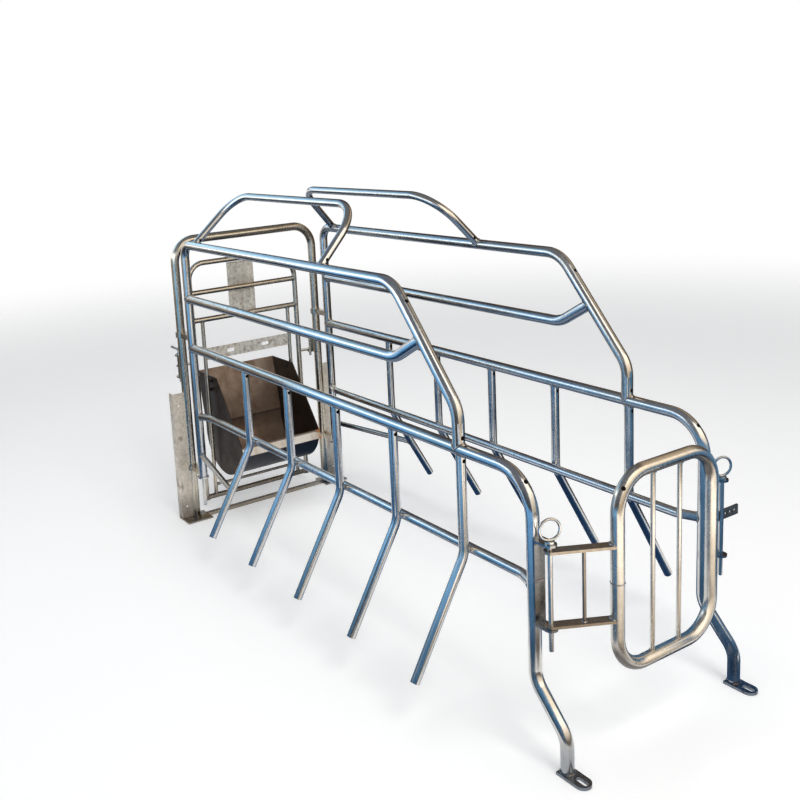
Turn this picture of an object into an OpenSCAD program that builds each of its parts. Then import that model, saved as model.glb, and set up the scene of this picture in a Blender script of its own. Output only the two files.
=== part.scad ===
// Farrowing crate: two welded tube side panels, a head arch with a hinged
// feeding gate, and a hinged rear gate held by drop pins.
// Millimetres. +X runs from the head end to the rear gate, +Z is up, and the
// floor is z = 0. The left panel is on -Y.

/* [Whole crate] */
// Distance between the side panels' centre lines
panel_spacing = 636; // [616:1:656]
// Front post to rear leg, centre to centre
panel_length = 1866; // [1846:1:1906]
// Height of the top rail
top_rail_height = 1138; // [1120:1:1160]
// Height of the upper rail
upper_rail_height = 925; // [910:1:940]
// Height of the mid rail
mid_rail_height = 728; // [720:1:740]
// Height of the lower rail
lower_rail_height = 449; // [442:1:456]

/* [Tubes and rods] */
// Outside diameter of the rails, the posts, the arch and the gate loop
rail_od = 33.7; // [32:0.1:35]
// Outside diameter of the finger bars, the lower rails and the hoops
bar_od = 26.9; // [25:0.1:28]
// Outside diameter of the head gate's tubes and of the front braces
small_od = 21.3; // [20:0.1:22.5]
// Wall of the tubes that end open
tube_wall = 2.6; // [2:0.1:3.2]
// Round rods of the gates
rod_d = 12; // [10:0.5:13]
// Gap that a coped tube end leaves to the tube it is welded on
weld_gap = 0.01; // [0:0.01:0.05]
// How much a bend is swollen over the straight tube
bend_swell = 0.05; // [0.03:0.01:0.08]

/* [Side panels] */
// Where the top rail turns down, from the front post
top_bend_x = 1346; // [1330:1:1360]
// Where the sloping tube comes down onto the mid rail
slope_foot_x = 1603; // [1595:1:1610]
// Height where the sloping tube turns upright
slope_foot_height = 832; // [826:1:840]
// Where the upper rail turns up to the sloping tube
upper_bend_x = 1343; // [1330:1:1350]
// Height where the upper rail meets the sloping tube
upper_end_height = 996; // [985:1:1005]
// Bend radius at the top of the front post
post_bend_r = 52; // [45:1:60]
// Bend radius of the top rail's rear bends
slope_bend_r = 110; // [90:1:120]
// Bend radius between the mid rail and the rear leg
leg_bend_r = 108; // [95:1:120]
// Bottom of the front post
post_bottom = 199; // [190:1:200]
// How far the leg is offset to the rear above its foot
leg_offset = 102; // [95:1:110]
// Height where the leg's offset begins
leg_offset_top = 205; // [200:1:215]
// Height where the leg's offset ends
leg_offset_bottom = 96; // [90:1:100]
// Bend radius of the leg's offset
leg_offset_r = 66; // [55:1:72]

/* [Finger bars] */
// First finger bar, from the front post
finger_first_x = 433; // [420:1:445]
// Distance from one finger bar to the next
finger_pitch = 294; // [288:1:298]
// How far the tips stand out from the panel
finger_reach = 179; // [165:1:195]
// Height of the bend
finger_bend_height = 438; // [430:1:446]
// Height of the tips
finger_tip_height = 134; // [120:1:150]
// Bend radius of a finger bar
finger_bend_r = 70; // [55:1:85]
// How deep the lower rail is let into the finger bars
lower_rail_seat = 1.2; // [0.8:0.1:2]
// Length of the lower rail's offset at each end
lower_rail_run = 66; // [60:1:75]
// Height of the front brace on the post
brace_post_height = 288; // [280:1:300]
// Where the brace meets the first finger bar, as a share of its sloping part
brace_share = 0.5; // [0.45:0.01:0.55]

/* [Hoops] */
// Front foot of the hoop, from the front post
hoop_front_x = 86; // [80:1:95]
// Rear foot of the hoop
hoop_rear_x = 973; // [960:1:985]
// How far the front leg of the hoop leans to the rear
hoop_front_lean = 48; // [40:1:60]
// How far the rear leg of the hoop leans to the front
hoop_rear_lean = 16; // [10:1:25]
// Height of the hoop's top
hoop_height = 1314; // [1295:1:1330]
// How far the hoop leans in over the crate
hoop_inward = 173; // [160:1:180]
// Bend radius at the hoop's front corner
hoop_front_r = 120; // [100:1:130]
// Bend radius at the hoop's rear corner
hoop_rear_r = 130; // [110:1:140]

/* [Feet] */
// Length of a foot plate behind the leg
foot_tail = 70; // [65:1:80]
// Width of a foot plate
foot_width = 44; // [40:1:48]
// Thickness of a foot plate
foot_thickness = 8; // [6:0.5:10]
// Width of the slot for the floor bolt
foot_slot_width = 14; // [12:0.5:16]
// Length of that slot
foot_slot_length = 36; // [32:1:38]

/* [Head arch] */
// Distance from the front posts to the arch
arch_gap = 100; // [92:1:108]
// Height of the arch
arch_height = 1143; // [1130:1:1160]
// Bend radius of the arch
arch_bend_r = 88; // [75:1:100]
// Height of the upper eye that joins a post to the arch
eye_top_height = 768; // [764:1:775]
// Height of the lower eye
eye_bottom_height = 212; // [211:1:225]
// Height of an eye
eye_thickness = 20; // [16:1:22]
// Wall of an eye round the arch
eye_wall = 5; // [4:0.5:7]
// Play of the arch in the eyes
eye_clearance = 0.3; // [0.2:0.05:0.5]
// Diameter of the rod under a front post
post_rod_d = 14; // [12:0.5:16]
// Lower end of that rod
post_rod_bottom = 76; // [70:1:85]
// Diameter of the flange on a post's lower end
post_flange_d = 46; // [42:1:50]
// Thickness of that flange
post_flange_t = 6; // [5:0.5:8]

/* [Base and side channels] */
// Length of a base plate along the crate
base_plate_length = 92; // [85:1:100]
// Width of a base plate
base_plate_width = 110; // [100:1:120]
// Thickness of the base plates
base_t = 6; // [5:0.5:8]
// Width of the bar between the base plates
base_bar_width = 18; // [15:1:22]
// Height of that bar
base_bar_height = 14; // [12:1:20]
// Distance of that bar behind the arch
base_bar_back = 34; // [30:1:38]
// How far a side channel stands out from the arch's centre line
channel_reach = 66; // [60:1:72]
// Depth of a side channel's outer flange
channel_flange = 34; // [30:1:38]
// Sheet of a side channel
channel_t = 4; // [3:0.5:5]
// Height of a side channel's top
channel_height = 532; // [515:1:550]
// Diameter of the two holes in a side channel
channel_hole_d = 9; // [8:0.5:11]
// Distance of these holes from the channel's ends
channel_hole_inset = 52; // [45:1:60]

/* [Gate brackets and pins] */
// Pin of the rear gate, behind the leg's centre line
gate_pin_offset = 55; // [53:0.5:60]
// Diameter of the rear pins
gate_pin_d = 12; // [11:0.1:12.5]
// Play of a pin in its bores
pin_clearance = 0.1; // [0.05:0.01:0.1]
// Lowest face of a rear bracket
gate_bracket_bottom = 358; // [352:1:362]
// Height of a rear bracket
gate_bracket_height = 220; // [214:1:226]
// Width of a bracket
bracket_width = 34; // [32:1:38]
// Sheet of a bracket
bracket_t = 6; // [5:0.5:7]
// How deep a bracket's back is let into its tube
bracket_seat = 1.5; // [1:0.1:2]
// How far the rear pins reach below the bracket
gate_pin_below = 55; // [50:1:60]
// Diameter of a pin's collar
collar_d = 24; // [22:0.5:26]
// Height of a pin's collar
collar_t = 6; // [5:0.5:7]
// Ring on a rear pin, to the middle of its wire
ring_r = 26; // [24:0.5:28]
// Wire of that ring
ring_wire_d = 7; // [6:0.5:8]
// Turn of that ring about its pin
ring_turn = 20; // [0:1:40]
// How deep the ring is let into the collar
ring_seat = 1.5; // [1:0.1:2]
// Pin of the head gate, in front of the arch
head_pin_offset = 40; // [38:0.5:44]
// How far the head gate's hinge is set in from the arch's centre line
hinge_inset = 14; // [12:0.5:16]
// How far the head gate's latch is set in from the arch's centre line
latch_inset = 0; // [-2:0.5:2]
// Diameter of the head pins
head_pin_d = 10; // [9:0.1:11]
// Lowest face of a head bracket
head_bracket_bottom = 585; // [578:1:592]
// Height of a head bracket
head_bracket_height = 95; // [90:1:100]
// How far the head pins reach below the bracket
head_pin_below = 20; // [15:1:25]
// Length of the latch pin's handle
handle_length = 66; // [60:1:75]
// Bend radius of the handle
handle_bend_r = 14; // [12:1:16]

/* [Rear gate] */
// Width of the loop, centre to centre
gate_width = 346; // [330:1:360]
// Height of the loop, centre to centre
gate_height = 498; // [480:1:520]
// Lower tube of the loop
gate_bottom = 228; // [215:1:240]
// Distance of the loop behind the legs
gate_setback = 130; // [124:1:136]
// Bend radius of the loop
gate_bend_r = 92; // [80:1:100]
// Distance between the two rods
gate_rod_spacing = 98; // [90:1:110]
// Width of an arm
arm_width = 30; // [28:1:32]
// Thickness of an arm
arm_t = 7; // [6:0.5:8]
// Play between a lug or the lower arm and the bracket
arm_clearance = 1; // [0.5:0.1:1.5]
// Distance of the upper arm below the bracket's upper lug
arm_drop = 11; // [8:1:14]
// Height of the latch strap's middle
strap_height = 468; // [462:1:474]
// Height of the strap's face
strap_width = 28; // [26:1:30]
// Thickness of the strap
strap_t = 5; // [4:0.5:6]
// Play between the strap and its pin
strap_clearance = 2; // [1.5:0.1:3]
// How far the strap reaches past the pin
strap_reach = 84; // [78:1:90]
// Diameter of the strap's holes
strap_hole_d = 10; // [9:0.5:11]
// Distance from one strap hole to the next
strap_hole_pitch = 19; // [18:0.5:20]

/* [Head gate] */
// Width of the frame, centre to centre
head_gate_width = 492; // [484:1:500]
// Height of the frame's top bar
head_gate_height = 1037; // [1028:1:1046]
// Bend radius of the frame on the latch side
head_gate_bend_r = 66; // [55:1:75]
// Where the top bar starts to slope, from the gate's middle towards the hinges
shoulder_y = 70; // [60:1:80]
// How far it has come down above the hinge side's upright
shoulder_drop = 60; // [55:1:65]
// Bend radius at the shoulder's start
shoulder_bend_r = 110; // [90:1:120]
// Bend radius of the frame on the hinge side
head_gate_hinge_r = 66; // [55:1:72]
// Drop from the top bar to the upper cross bar
cross_bar_drop = 120; // [118:1:128]
// Distance from the upper to the lower cross bar
cross_bar_gap = 114; // [106:1:122]
// Height of the bottom bar
head_gate_bottom = 46; // [42:1:52]
// Height of the thin bar under the trough
under_bar_height = 93; // [88:1:98]
// Diameter of the upright rods beside the trough
head_rod_d = 16; // [14:0.5:17]
// Distance between these rods
head_rod_spacing = 404; // [400:1:412]
// Width of the tag plate
tag_width = 123; // [115:1:130]
// How far the tag plate's middle is from the gate's middle
tag_offset = 6; // [0:1:15]
// Drop from the top bar to the tag plate's upper edge
tag_drop = 14; // [12:1:18]
// Thickness of the tag plate
tag_t = 2; // [1.5:0.5:3]
// How deep the bars are let into the tag plate
tag_seat = 0.3; // [0.2:0.05:0.5]
// Lower edge of the hanger strap
hanger_bottom = 632; // [625:1:640]
// Height of the hanger strap's face
hanger_width = 50; // [46:1:54]
// Thickness of the hanger strap
hanger_t = 4; // [3:0.5:5]
// Length of the hanger strap's slots
hanger_slot_length = 36; // [32:1:40]
// Width of these slots
hanger_slot_width = 15; // [13:0.5:17]
// Distance between these slots
hanger_slot_spacing = 164; // [150:1:175]
// Thickness of the gate's hinge lugs and of its latch tongue
lug_t = 6; // [5:0.5:7]
// Width of these lugs
lug_width = 28; // [26:1:30]
// Play of the latch pin in the tongue
tongue_clearance = 1.5; // [1:0.1:2]

/* [Feed trough] */
// Width of the trough over its sides
trough_width = 368; // [360:1:374]
// Sheet of the trough
trough_t = 3; // [2:0.5:4]
// Height of the back edge
trough_height = 562; // [552:1:572]
// Back edge, in front of the gate
trough_back = 127; // [120:1:134]
// Front end of the sides' top edge, behind the gate
trough_top_run = 48; // [42:1:54]
// Front lip, behind the gate
trough_front = 236; // [228:1:244]
// Height of the front lip
trough_lip_height = 304; // [296:1:312]
// Radius of the trough's round bottom
trough_r = 160; // [154:1:164]
// Height of that radius' centre above the front lip
trough_rise = 14; // [10:1:18]
// Width of the folded lip
trough_lip = 34; // [30:1:38]
// Slope of the folded lip
trough_lip_angle = 62; // [55:1:70]
// Diameter of the bosses that carry the trough on the gate's rods
boss_d = 14; // [12:0.5:16]
// Height of the upper bosses below the back edge
boss_drop = 20; // [16:1:24]
// Distance from the upper to the lower bosses
boss_spacing = 36; // [32:1:40]
// Diameter of the bolt holes in the sides
trough_hole_d = 6; // [5:0.5:8]

/* [Hidden] */
$fn = 48;

panel_y = panel_spacing / 2;
arch_x = -arch_gap;
head_x = arch_x - head_pin_offset;
cross_bar_high = head_gate_height - cross_bar_drop;
cross_bar_low = cross_bar_high - cross_bar_gap;
head_pin_y = panel_y - hinge_inset;
latch_pin_y = -(panel_y - latch_inset);
gate_pin_x = panel_length + gate_pin_offset;
gate_x = panel_length + gate_setback;
foot_x = panel_length + leg_offset;
eye_d = rail_od + 2 * eye_clearance + 2 * eye_wall;
// The frame's origin is half way along the whole crate
x_shift = -(foot_x + foot_tail + head_x - trough_back) / 2;

function unit(v) = v / norm(v);
left = -1;
right = 1;
finger_count = 5;
lap = 1;

// Paths of the side panels' tubes, for one side
function top_path(s) = [
    [0, s * panel_y, post_bottom],
    [0, s * panel_y, top_rail_height],
    [top_bend_x, s * panel_y, top_rail_height],
    [slope_foot_x, s * panel_y, slope_foot_height],
    [slope_foot_x, s * panel_y, mid_rail_height]
];
slope_share = (top_rail_height - upper_end_height) / (top_rail_height - slope_foot_height);
upper_end_x = top_bend_x + slope_share * (slope_foot_x - top_bend_x);
function upper_path(s) = [
    [0, s * panel_y, upper_rail_height],
    [upper_bend_x, s * panel_y, upper_rail_height],
    [upper_end_x, s * panel_y, upper_end_height]
];
function mid_path(s) = [
    [0, s * panel_y, mid_rail_height],
    [panel_length, s * panel_y, mid_rail_height],
    [panel_length, s * panel_y, leg_offset_top],
    [foot_x, s * panel_y, leg_offset_bottom],
    [foot_x, s * panel_y, foot_thickness]
];
function finger_x(i) = finger_first_x + i * finger_pitch;
function finger_path(s, i) = [
    [finger_x(i), s * panel_y, mid_rail_height],
    [finger_x(i), s * panel_y, finger_bend_height],
    [finger_x(i), s * (panel_y + finger_reach), finger_tip_height]
];
// The bend draws a finger bar's axis out by this much at the lower rail
finger_angle = atan2(finger_reach, finger_bend_height - finger_tip_height);
finger_bend_top = finger_bend_height + finger_bend_r * tan(finger_angle / 2);
finger_drop = max(0, finger_bend_top - lower_rail_height);
finger_draw = finger_bend_r - sqrt(finger_bend_r * finger_bend_r - finger_drop * finger_drop);
lower_rail_y = panel_y + finger_draw - bar_od + lower_rail_seat;
function lower_path(s) = [
    [0, s * panel_y, lower_rail_height],
    [lower_rail_run, s * lower_rail_y, lower_rail_height],
    [panel_length - lower_rail_run, s * lower_rail_y, lower_rail_height],
    [panel_length, s * panel_y, lower_rail_height]
];
function brace_path(s) = [
    [0, s * panel_y, brace_post_height],
    [
        finger_first_x, s * (panel_y + brace_share * finger_reach),
        finger_bend_height + brace_share * (finger_tip_height - finger_bend_height)
    ]
];
function hoop_path(s) = [
    [hoop_front_x, s * panel_y, top_rail_height],
    [hoop_front_x + hoop_front_lean, s * (panel_y - hoop_inward), hoop_height],
    [hoop_rear_x - hoop_rear_lean, s * (panel_y - hoop_inward), hoop_height],
    [hoop_rear_x, s * panel_y, top_rail_height]
];

// Plan of the rear gate
hinge_at = [gate_pin_x, -panel_y];
loop_left = [gate_x, -gate_width / 2];
loop_right = [gate_x, gate_width / 2];
arm_low_z = gate_bracket_bottom + bracket_t + arm_clearance;
arm_high_z = gate_bracket_bottom + gate_bracket_height - bracket_t - arm_drop - arm_t;
strap_x = gate_pin_x - gate_pin_d / 2 - strap_clearance - strap_t / 2;
strap_knee = [strap_x, panel_y - bracket_width];
strap_end = [strap_x, panel_y + strap_reach];

// Side view of the trough: x behind the gate and z
trough_c = [
    trough_front - sqrt(trough_r * trough_r - trough_rise * trough_rise),
    trough_lip_height + trough_rise
];
trough_p = [-trough_back, trough_height];
// The back wall runs into the round bottom here
trough_q = trough_c - [trough_r - 6, 10];
trough_up = unit(trough_p - trough_q);
// Corners of the sides' sloping front edge
trough_f = [trough_top_run, trough_height];
trough_l = [trough_front, trough_lip_height];
trough_edge = unit(trough_f - trough_l);
head_rod_y = head_rod_spacing / 2;

galvanised = [0.66, 0.69, 0.72];
bright_zinc = [0.74, 0.76, 0.78];
bare_sheet = [0.42, 0.38, 0.34];
dull_sheet = [0.62, 0.62, 0.58];

// Sets the crate about the frame's origin
module placed() {
    translate([x_shift, 0, 0])
        children();
}

// A straight tube or rod from a to b
module run(a, b, d) {
    v = b - a;
    length = norm(v);
    translate(a)
        rotate([0, acos(v[2] / length), atan2(v[1], v[0])])
            cylinder(d = d, h = length);
}

// Length that a bend of radius r takes from each side of the corner p
function setback(a, p, b, r) = r / tan(acos(unit(a - p) * unit(b - p)) / 2);

// A bend of radius r at the corner p, coming from a and going to b
module elbow(a, p, b, r, d) {
    u = unit(a - p);
    w = unit(b - p);
    half = acos(u * w) / 2;
    c = p + unit(u + w) * r / sin(half);
    e = unit(p + u * r / tan(half) - c);
    g = unit(p + w * r / tan(half) - c);
    n = unit(cross(e, g));
    f = cross(n, e);
    multmatrix([
        [e[0], f[0], n[0], c[0]],
        [e[1], f[1], n[1], c[1]],
        [e[2], f[2], n[2], c[2]],
        [0, 0, 0, 1]
    ])
        rotate_extrude(angle = 180 - 2 * half)
            translate([r, 0])
                circle(d = d + 2 * bend_swell);
}

// A tube of diameter d bent along the points p, with the radii r at its corners.
// The straight runs reach a little way into the bends.
module bent(p, r, d) {
    last = len(p) - 1;
    back = [for (i = [0 : last])
        i == 0 || i == last ? 0 : setback(p[i - 1], p[i], p[i + 1], r[i - 1]) - lap];
    union() {
        for (i = [0 : last - 1]) {
            v = unit(p[i + 1] - p[i]);
            run(p[i] + back[i] * v, p[i + 1] - back[i + 1] * v, d);
        }
        for (i = [1 : last - 1])
            elbow(p[i - 1], p[i], p[i + 1], r[i - 1], d);
    }
}

// The outside of a straight tube, for coping the end of another one on it
module saddle(a, b, d) {
    run(a, b, d + 2 * weld_gap);
}

// A flat bar with a rounded end at b, lying flat between z and z + t
module flat_arm(a, b, width, z, t) {
    v = b - a;
    translate([a[0], a[1], z])
        rotate([0, 0, atan2(v[1], v[0])])
            union() {
                translate([0, -width / 2, 0])
                    cube([norm(v), width, t]);
                translate([norm(v), 0, 0])
                    cylinder(d = width, h = t);
            }
}

// Front post, top rail and sloping tube, bent from one length
module top_tube(s) {
    p = mid_path(s);
    difference() {
        bent(top_path(s), [post_bend_r, slope_bend_r, slope_bend_r * 0.8], rail_od);
        saddle(p[0], p[1], rail_od);
    }
}

// Upper rail, turned up at its rear end onto the sloping tube
module upper_rail(s) {
    p = top_path(s);
    difference() {
        bent(upper_path(s), [slope_bend_r], rail_od);
        saddle(p[0], p[1], rail_od);
        saddle(p[2], p[3], rail_od);
    }
}

// Mid rail and rear leg, bent from one length
module mid_rail(s) {
    p = top_path(s);
    difference() {
        bent(mid_path(s), [leg_bend_r, leg_offset_r, leg_offset_r], rail_od);
        saddle(p[0], p[1], rail_od);
    }
}

// Finger bars, coped on the mid rail, let onto the lower rail, open at the tips
module finger_bars(s) {
    m = mid_path(s);
    l = lower_path(s);
    for (i = [0 : finger_count - 1]) {
        p = finger_path(s, i);
        difference() {
            bent(p, [finger_bend_r], bar_od);
            saddle(m[0], m[1], rail_od);
            saddle(l[1], l[2], bar_od);
            run(p[2], p[2] + 40 * unit(p[1] - p[2]), bar_od - 2 * tube_wall);
        }
    }
}

// Lower rail on the inner side of the bars, turned out to the post and the leg
module lower_rail(s) {
    t = top_path(s);
    m = mid_path(s);
    difference() {
        bent(lower_path(s), [70, 70], bar_od);
        saddle(t[0], t[1], rail_od);
        saddle(m[1], m[2], rail_od);
    }
}

// Brace from the post's foot to the first finger bar
module front_brace(s) {
    t = top_path(s);
    f = finger_path(s, 0);
    p = brace_path(s);
    difference() {
        run(p[0], p[1], small_od);
        saddle(t[0], t[1], rail_od);
        saddle(f[1], f[2], bar_od);
    }
}

// Hoop that leans in over the crate, coped on the top rail
module hoop(s) {
    p = top_path(s);
    difference() {
        bent(hoop_path(s), [hoop_front_r, hoop_rear_r], bar_od);
        saddle(p[1], p[2], rail_od);
    }
}

// Foot plate with a rounded tail and a slot for the floor bolt
module foot_plate(s) {
    tail = foot_x + foot_tail - foot_width / 2;
    slot_end = foot_x + foot_tail - foot_width / 2 + (foot_width - foot_slot_width) / 2 - 6;
    slot_start = slot_end - foot_slot_length + foot_slot_width;
    translate([0, s * panel_y, 0])
        difference() {
            union() {
                translate([foot_x - rail_od / 2, -foot_width / 2, 0])
                    cube([tail - foot_x + rail_od / 2, foot_width, foot_thickness]);
                translate([tail, 0, 0])
                    cylinder(d = foot_width, h = foot_thickness);
            }
            translate([slot_start, -foot_slot_width / 2, -1])
                cube([slot_end - slot_start, foot_slot_width, foot_thickness + 2]);
            for (x = [slot_start, slot_end])
                translate([x, 0, -1])
                    cylinder(d = foot_slot_width, h = foot_thickness + 2);
        }
}

// Flange under the front post and the rod that hangs from it
module post_end(s) {
    translate([0, s * panel_y, 0])
        union() {
            translate([0, 0, post_bottom - post_flange_t])
                cylinder(d = post_flange_d, h = post_flange_t);
            translate([0, 0, post_rod_bottom])
                cylinder(d = post_rod_d, h = post_bottom - post_flange_t - post_rod_bottom);
        }
}

// Eyes on the post that take the arch's upright
module post_eyes(s) {
    t = top_path(s);
    for (z = [eye_bottom_height, eye_top_height])
        difference() {
            union() {
                translate([arch_x, s * panel_y, z - eye_thickness / 2])
                    cylinder(d = eye_d, h = eye_thickness);
                translate([arch_x, s * panel_y - eye_d / 4, z - eye_thickness / 2])
                    cube([arch_gap, eye_d / 2, eye_thickness]);
            }
            translate([arch_x, s * panel_y, z - eye_thickness])
                cylinder(d = rail_od + 2 * eye_clearance, h = 2 * eye_thickness);
            saddle(t[0], t[1], rail_od);
        }
}

// Bracket of folded sheet: a back on the tube at the origin and two lugs that
// hold a pin at the distance reach along +X
module u_bracket(reach, inset, tube_d, bottom, height, pin_d) {
    back_x = tube_d / 2 - bracket_seat;
    difference() {
        union() {
            translate([back_x, inset - bracket_width / 2, bottom])
                cube([bracket_t, bracket_width, height]);
            for (z = [bottom, bottom + height - bracket_t]) {
                translate([back_x, inset - bracket_width / 2, z])
                    cube([reach - back_x, bracket_width, bracket_t]);
                translate([reach, inset, z])
                    cylinder(d = bracket_width, h = bracket_t);
            }
        }
        translate([0, 0, bottom - 1])
            cylinder(d = tube_d + 2 * weld_gap, h = height + 2);
        translate([reach, inset, bottom - 1])
            cylinder(d = pin_d + 2 * pin_clearance, h = height + 2);
    }
}

module gate_bracket(s) {
    translate([panel_length, s * panel_y, 0])
        u_bracket(gate_pin_offset, 0, rail_od, gate_bracket_bottom, gate_bracket_height, gate_pin_d);
}

module head_bracket(s) {
    translate([arch_x, s * panel_y, 0])
        rotate([0, 0, 180])
            u_bracket(
                head_pin_offset, s > 0 ? hinge_inset : -latch_inset, rail_od,
                head_bracket_bottom, head_bracket_height, head_pin_d
            );
}

// Drop pin with a collar and a standing ring
module ring_pin(s) {
    top = gate_bracket_bottom + gate_bracket_height;
    low = gate_bracket_bottom - gate_pin_below;
    translate([gate_pin_x, s * panel_y, 0])
        union() {
            translate([0, 0, low])
                cylinder(d = gate_pin_d, h = top - low);
            translate([0, 0, top])
                cylinder(d = collar_d, h = collar_t);
            translate([0, 0, top + collar_t + ring_r + ring_wire_d / 2 - ring_seat])
                rotate([0, 90, -ring_turn])
                    rotate_extrude()
                        translate([ring_r, 0])
                            circle(d = ring_wire_d);
        }
}

// Arch of the head end, standing on the base plates
module head_arch_tube() {
    difference() {
        bent(
            [
                [arch_x, -panel_y, base_t], [arch_x, -panel_y, arch_height],
                [arch_x, panel_y, arch_height], [arch_x, panel_y, base_t]
            ],
            [arch_bend_r, arch_bend_r], rail_od
        );
    }
}

// Two plates on the floor under the arch and the bar between them
module base_plates() {
    inner = panel_y + channel_reach + 3 - base_plate_width;
    union() {
        for (s = [left, right])
            translate([arch_x - 18, s > 0 ? inner : -inner - base_plate_width, 0])
                cube([base_plate_length, base_plate_width, base_t]);
        translate([arch_x + base_bar_back - base_bar_width / 2, -inner - 40, 0])
            cube([base_bar_width, 2 * inner + 80, base_bar_height]);
    }
}

// Folded channel that stands out beside the arch, with two holes
module side_channel(s) {
    far = panel_y + channel_reach;
    difference() {
        union() {
            translate([arch_x + 6, s > 0 ? panel_y : -far, base_t])
                cube([channel_t, channel_reach, channel_height - base_t]);
            translate([arch_x + 6 + channel_t - channel_flange, s > 0 ? far - channel_t : -far, base_t])
                cube([channel_flange, channel_t, channel_height - base_t]);
        }
        translate([arch_x, s * panel_y, 0])
            cylinder(d = rail_od + 2 * weld_gap, h = channel_height + 10);
        translate([arch_x, s * panel_y, eye_bottom_height - eye_thickness / 2 - 1])
            cylinder(d = eye_d + 2, h = eye_thickness + 2);
        for (z = [channel_hole_inset, channel_height - channel_hole_inset])
            translate([arch_x, s * (panel_y + (channel_reach + rail_od / 2) / 2), z])
                rotate([0, 90, 0])
                    cylinder(d = channel_hole_d, h = 20);
    }
}

// Headed pin of the head gate's hinge
module head_hinge() {
    top = head_bracket_bottom + head_bracket_height;
    low = head_bracket_bottom - head_pin_below;
    translate([head_x, head_pin_y, 0])
        union() {
            translate([0, 0, low])
                cylinder(d = head_pin_d, h = top - low);
            translate([0, 0, top])
                cylinder(d = collar_d * 0.75, h = collar_t);
        }
}

// Latch pin of the head gate, with its top bent over as a handle
module head_latch() {
    top = head_bracket_bottom + head_bracket_height;
    low = head_bracket_bottom - head_pin_below;
    y = latch_pin_y;
    bend_z = top + collar_t + handle_bend_r;
    union() {
        bent(
            [[head_x, y, low], [head_x, y, bend_z], [head_x - handle_length, y, bend_z]],
            [handle_bend_r], head_pin_d
        );
        translate([head_x, y, top])
            cylinder(d = collar_d * 0.75, h = collar_t);
    }
}

// Loop of the rear gate, bent round from one length
module loop_tube() {
    w = gate_width / 2 - gate_bend_r;
    low = gate_bottom + gate_bend_r;
    high = gate_bottom + gate_height - gate_bend_r;
    union() {
        for (s = [left, right])
            run(
                [gate_x, s * gate_width / 2, low - lap],
                [gate_x, s * gate_width / 2, high + lap], rail_od
            );
        for (z = [gate_bottom, gate_bottom + gate_height])
            run([gate_x, -w - lap, z], [gate_x, w + lap, z], rail_od);
        for (s = [left, right])
            for (z = [gate_bottom, gate_bottom + gate_height])
                elbow(
                    [gate_x, 0, z], [gate_x, s * gate_width / 2, z],
                    [gate_x, s * gate_width / 2, gate_bottom + gate_height / 2],
                    gate_bend_r, rail_od
                );
    }
}

// Two upright rods inside the loop
module loop_rods() {
    for (s = [left, right])
        difference() {
            run(
                [gate_x, s * gate_rod_spacing / 2, gate_bottom],
                [gate_x, s * gate_rod_spacing / 2, gate_bottom + gate_height], rod_d
            );
            for (z = [gate_bottom, gate_bottom + gate_height])
                saddle([gate_x, -gate_width / 2, z], [gate_x, gate_width / 2, z], rail_od);
        }
}

// Two flat arms that carry the loop on its hinge pin
module hinge_arms() {
    for (z = [arm_low_z, arm_high_z])
        difference() {
            flat_arm(loop_left, hinge_at, arm_width, z, arm_t);
            saddle(
                [gate_x, -gate_width / 2, gate_bottom],
                [gate_x, -gate_width / 2, gate_bottom + gate_height], rail_od
            );
            translate([hinge_at[0], hinge_at[1], z - 1])
                cylinder(d = gate_pin_d + 2 * pin_clearance, h = arm_t + 2);
        }
}

// Rod between the arms
module arm_rod() {
    m = (hinge_at + loop_left) / 2;
    run([m[0], m[1], arm_low_z + arm_t], [m[0], m[1], arm_high_z], rod_d * 0.8);
}

// Latch strap: from the loop to the far bracket, between its back and its pin,
// cut from one flat bar with a mitred knee
module latch_strap() {
    d = unit(strap_knee - loop_right);
    n = [-d[1], d[0]] * strap_t / 2;
    m = [-1, 0] * strap_t / 2;
    k = (n + m) / (1 + (n * m) / (strap_t * strap_t / 4));
    difference() {
        translate([0, 0, strap_height - strap_width / 2])
            linear_extrude(strap_width)
                polygon([
                    loop_right + n, strap_knee + k, strap_end + m,
                    strap_end - m, strap_knee - k, loop_right - n
                ]);
        saddle(
            [gate_x, gate_width / 2, gate_bottom],
            [gate_x, gate_width / 2, gate_bottom + gate_height], rail_od
        );
        for (i = [0 : 2])
            translate([strap_x - 10, strap_end[1] - 14 - i * strap_hole_pitch, strap_height])
                rotate([0, 90, 0])
                    cylinder(d = strap_hole_d, h = 20);
    }
}

// Frame of the head gate, an upturned U with one sloping shoulder and open ends
module head_frame() {
    w = head_gate_width / 2;
    low = head_gate_bottom - small_od / 2;
    difference() {
        bent(
            [
                [head_x, -w, low], [head_x, -w, head_gate_height],
                [head_x, shoulder_y, head_gate_height],
                [head_x, w, head_gate_height - shoulder_drop], [head_x, w, low]
            ],
            [head_gate_bend_r, shoulder_bend_r, head_gate_hinge_r], small_od
        );
        for (s = [left, right])
            translate([head_x, s * w, low - 1])
                cylinder(d = small_od - 2 * tube_wall, h = 4);
    }
}

// Cross bars and bottom bar of the head gate, and the thin bar under the trough
module head_bars() {
    w = head_gate_width / 2;
    for (z = [cross_bar_high, cross_bar_low, head_gate_bottom])
        difference() {
            run([head_x, -w, z], [head_x, w, z], small_od);
            for (s = [left, right])
                saddle([head_x, s * w, z - 60], [head_x, s * w, z + 60], small_od);
        }
    difference() {
        run([head_x, -head_rod_y, under_bar_height], [head_x, head_rod_y, under_bar_height], rod_d);
        for (s = [left, right])
            saddle(
                [head_x, s * head_rod_y, under_bar_height - 40],
                [head_x, s * head_rod_y, under_bar_height + 40], head_rod_d
            );
    }
}

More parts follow.
